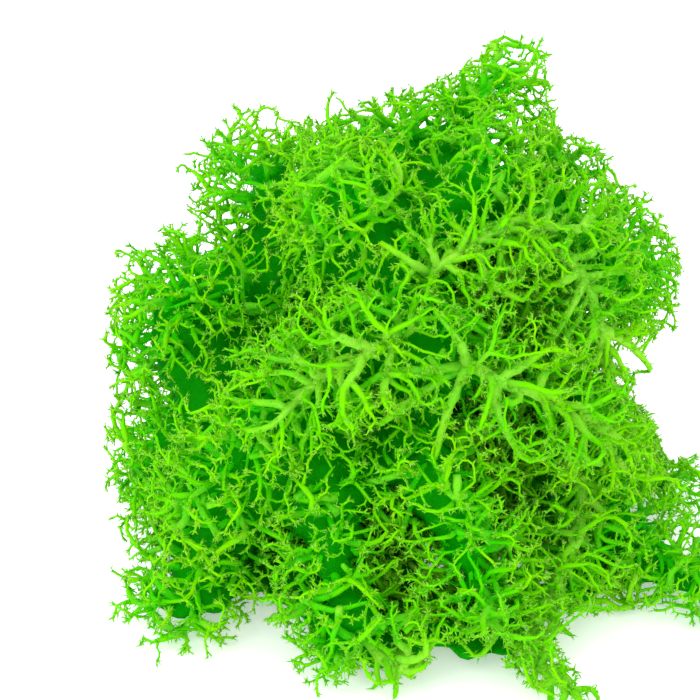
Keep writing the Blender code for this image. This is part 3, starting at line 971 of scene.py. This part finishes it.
def make_heart(points, material):
    """The tangle of old stems in the middle, with the thin growth that they bear."""
    draw = source("matted_heart")
    tree = Tree()
    stems = [tree.add_run(old_stem(draw), -1) for number in range(OLD_STEMS)]
    nodes = np.concatenate(stems)
    buds = draw.choice(nodes, OLD_BUDS, replace=False)
    grow(tree, buds, points, draw)
    soften(tree)
    radii = np.minimum(thickness(tree), MOST_BRANCH_RADIUS)
    for stem in stems:
        root = draw.uniform(*OLD_STEM_RADII)
        radii[stem] = np.linspace(root, root * OLD_STEM_TAPER, len(stem))
    skin = dress(tree, radii, set(nodes), draw)
    piece = skin.piece("matted_heart_moss", material)
    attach(piece, "root")
    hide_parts("matted_heart")


def add_node(material, kind, settings=(), **inputs):
    """Adds a node. An input is a value, or the output of another node that feeds it."""
    node = material.node_tree.nodes.new(kind)
    for name, value in dict(settings).items():
        setattr(node, name, value)
    for name, value in inputs.items():
        socket = node.inputs[name]
        if isinstance(value, bpy.types.NodeSocket):
            material.node_tree.links.new(value, socket)
        else:
            socket.default_value = value
    return node


def mixed(material, share, first, second):
    """The output of a mix of two colours, each a value or another node's output."""
    node = material.node_tree.nodes.new("ShaderNodeMix")
    node.data_type = "RGBA"
    for socket, value in ((node.inputs[0], share), (node.inputs[6], first), (node.inputs[7], second)):
        if isinstance(value, bpy.types.NodeSocket):
            material.node_tree.links.new(value, socket)
        else:
            socket.default_value = value
    return node.outputs[2]


def ramp(material, value, low, high, from_share=0.0, to_share=1.0):
    """A value brought from one range to another, and held inside it."""
    node = add_node(material, "ShaderNodeMapRange", Value=value)
    node.inputs["From Min"].default_value = low
    node.inputs["From Max"].default_value = high
    node.inputs["To Min"].default_value = from_share
    node.inputs["To Max"].default_value = to_share
    return node.outputs["Result"]


def speckle(material, size, detail=SPECKLE_DETAIL):
    """Procedural noise whose features are this many millimetres across."""
    place = add_node(material, "ShaderNodeTexCoord").outputs["Object"]
    scale = 1 / (size * MM)
    return add_node(material, "ShaderNodeTexNoise", Vector=place, Scale=scale, Detail=detail).outputs["Fac"]


def moss_material(name, greens, pale, vein_height):
    """Felt-like moss: patches of two greens, finely mottled, and paler on stalks and at the tips, partly
    by their own colour and partly as a painted highlight. Painted shade turns it to the green of the
    depths in the pits of its grain, and deep in the clump where it has no veins.

    Where it has veins, they stand for stems that are matted together, with painted shade between them."""
    material = bpy.data.materials.new(name)
    material.use_nodes = True
    shader = material.node_tree.nodes["Principled BSDF"]
    tone = add_node(material, "ShaderNodeAttribute", {"attribute_name": "tone"}).outputs["Fac"]
    patches = ramp(material, speckle(material, PATCH_SIZE), *PATCH_RANGE)
    mottle = ramp(material, speckle(material, MOTTLE_SIZE), *MOTTLE_RANGE)
    green = mixed(material, patches, (*greens[0], 1), (*greens[1], 1))
    depth = add_node(material, "ShaderNodeAttribute", {"attribute_name": "depth"}).outputs["Fac"]
    # Paler on stalks and at the tips: partly their own colour, partly a painted highlight
    at_tips = ramp(material, tone, *PALE_TIP_RANGE)
    on_stalks = ramp(material, tone, *PALE_STALK_RANGE, 0.0, STALK_PALENESS)
    lighter = add_node(material, "ShaderNodeMath", {"operation": "MAXIMUM"})
    material.node_tree.links.new(at_tips, lighter.inputs[0])
    material.node_tree.links.new(on_stalks, lighter.inputs[1])
    share = add_node(material, "ShaderNodeMath", {"operation": "MULTIPLY"})
    material.node_tree.links.new(lighter.outputs[0], share.inputs[0])
    material.node_tree.links.new(ramp(material, mottle, 0, 1, *MOTTLED_PALENESS), share.inputs[1])
    colour = mixed(material, share.outputs[0], green, (*pale, 1))
    if not vein_height:
        # Painted shade: deep in the clump the colour turns to the green of the depths
        colour = mixed(material, ramp(material, depth, *DEPTH_RANGE), colour, (*greens[2], 1))
    grain = speckle(material, GRAIN_SIZE, GRAIN_DETAIL)
    # Painted shade in the pits of the grain
    painted_pit_shade = ramp(material, grain, *PIT_RANGE, 0.0, PIT_SHADE)
    colour = mixed(material, painted_pit_shade, colour, (*greens[2], 1))
    rough = ramp(material, tone, *GRAIN_RANGE, GRAIN_STRENGTH, 0.0)
    bump = add_node(material, "ShaderNodeBump", Height=grain, Strength=rough, Distance=GRAIN_DEPTH * MM)
    if vein_height:
        place = add_node(material, "ShaderNodeTexCoord").outputs["Object"]
        settings = {"noise_type": "RIDGED_MULTIFRACTAL", "normalize": True}
        veins = add_node(
            material, "ShaderNodeTexNoise", settings, Vector=place, Scale=1 / (VEIN_SIZE * MM),
            Detail=SPECKLE_DETAIL, Distortion=VEIN_DISTORTION,
        ).outputs["Fac"]
        veins = ramp(material, veins, *VEIN_RANGE)
        # Painted shade in the valleys between the veins
        colour = mixed(material, veins, (*greens[2], 1), colour)
        lift = add_node(material, "ShaderNodeBump", Height=veins, Distance=vein_height * MM)
        material.node_tree.links.new(bump.outputs["Normal"], lift.inputs["Normal"])
        bump = lift
    material.node_tree.links.new(colour, shader.inputs["Base Color"])
    material.node_tree.links.new(bump.outputs["Normal"], shader.inputs["Normal"])
    shader.inputs["Roughness"].default_value = ROUGHNESS
    shader.inputs["Specular IOR Level"].default_value = SPECULAR
    return material


def make_floor():
    """The white ground, four metres each way, that the clump rests on."""
    low, high = -FLOOR_HALF, FLOOR_HALF
    mesh = bpy.data.meshes.new("floor")
    mesh.from_pydata([(low, low, 0), (high, low, 0), (high, high, 0), (low, high, 0)], [], [(0, 1, 2, 3)])
    material = bpy.data.materials.new("floor")
    material.use_nodes = True
    shader = material.node_tree.nodes["Principled BSDF"]
    shader.inputs["Base Color"].default_value = (*FLOOR_COLOUR, 1.0)
    shader.inputs["Roughness"].default_value = FLOOR_ROUGHNESS
    shader.inputs["Emission Color"].default_value = (1, 1, 1, 1)
    shader.inputs["Emission Strength"].default_value = FLOOR_GLOW
    mesh.materials.append(material)
    floor = bpy.data.objects.new("floor", mesh)
    bpy.context.scene.collection.objects.link(floor)


def make_camera():
    """The camera at the photograph's viewing angle."""
    camera = bpy.data.objects.new("camera", bpy.data.cameras.new("camera"))
    camera.data.lens = LENS
    camera.data.clip_start = CLIP_START
    back = Vector((0, -math.cos(CAMERA_ELEVATION), math.sin(CAMERA_ELEVATION)))
    camera.location = (Vector(CAMERA_TARGET) + back * CAMERA_DISTANCE) * MM
    camera.rotation_euler = (-back).to_track_quat("-Z", "Y").to_euler()
    bpy.context.scene.collection.objects.link(camera)
    bpy.context.scene.camera = camera


def make_light():
    """A soft sun and a white sky, shown without a film look."""
    world = bpy.data.worlds.new("world")
    world.use_nodes = True
    world.node_tree.nodes["Background"].inputs["Color"].default_value = (1, 1, 1, 1)
    world.node_tree.nodes["Background"].inputs["Strength"].default_value = SKY_STRENGTH
    bpy.context.scene.world = world
    sun = bpy.data.objects.new("key", bpy.data.lights.new("key", "SUN"))
    sun.data.energy = SUN_ENERGY
    sun.data.angle = SUN_SOFTNESS
    sun.rotation_euler = SUN_TURN
    bpy.context.scene.collection.objects.link(sun)
    bpy.context.scene.view_settings.view_transform = "Standard"


stalk_tree_points = np.vstack([stalk_points(name) for name in TUFTS])
stalk_owner = np.concatenate([np.full(len(stalk_points(name)), k) for k, name in enumerate(TUFTS)])
stalk_tree = kdtree.KDTree(len(stalk_tree_points))
for number, place in enumerate(stalk_tree_points):
    stalk_tree.insert(place, number)
stalk_tree.balance()
margins = ((POINT_MARGIN, POINT_MARGIN, GROUND), (-POINT_MARGIN, -POINT_MARGIN, 0.0))
box_corners = np.array([*cad_box]) / MM + margins
cell_corner = box_corners[0] - CELL
cell_counts = np.ceil((box_corners[1] - box_corners[0]) / CELL).astype(int) + SPARE_CELLS
depth_grid = measure_depth((0, 1, 2))
inward_grid = measure_depth((0, 1))

moss = moss_material("moss_fine", LIVE_GREENS, LIVE_PALE, 0.0)
shares = scatter_points()
for tuft in TUFTS:
    make_tuft(tuft, shares[tuft], moss)
make_tangle(moss)
old_moss = moss_material("matted_moss_fine", OLD_GREENS, OLD_PALE, VEIN_HEIGHT)
make_heart(shares["matted_heart"], old_moss)
make_mat(old_moss)
make_floor()
make_camera()
make_light()
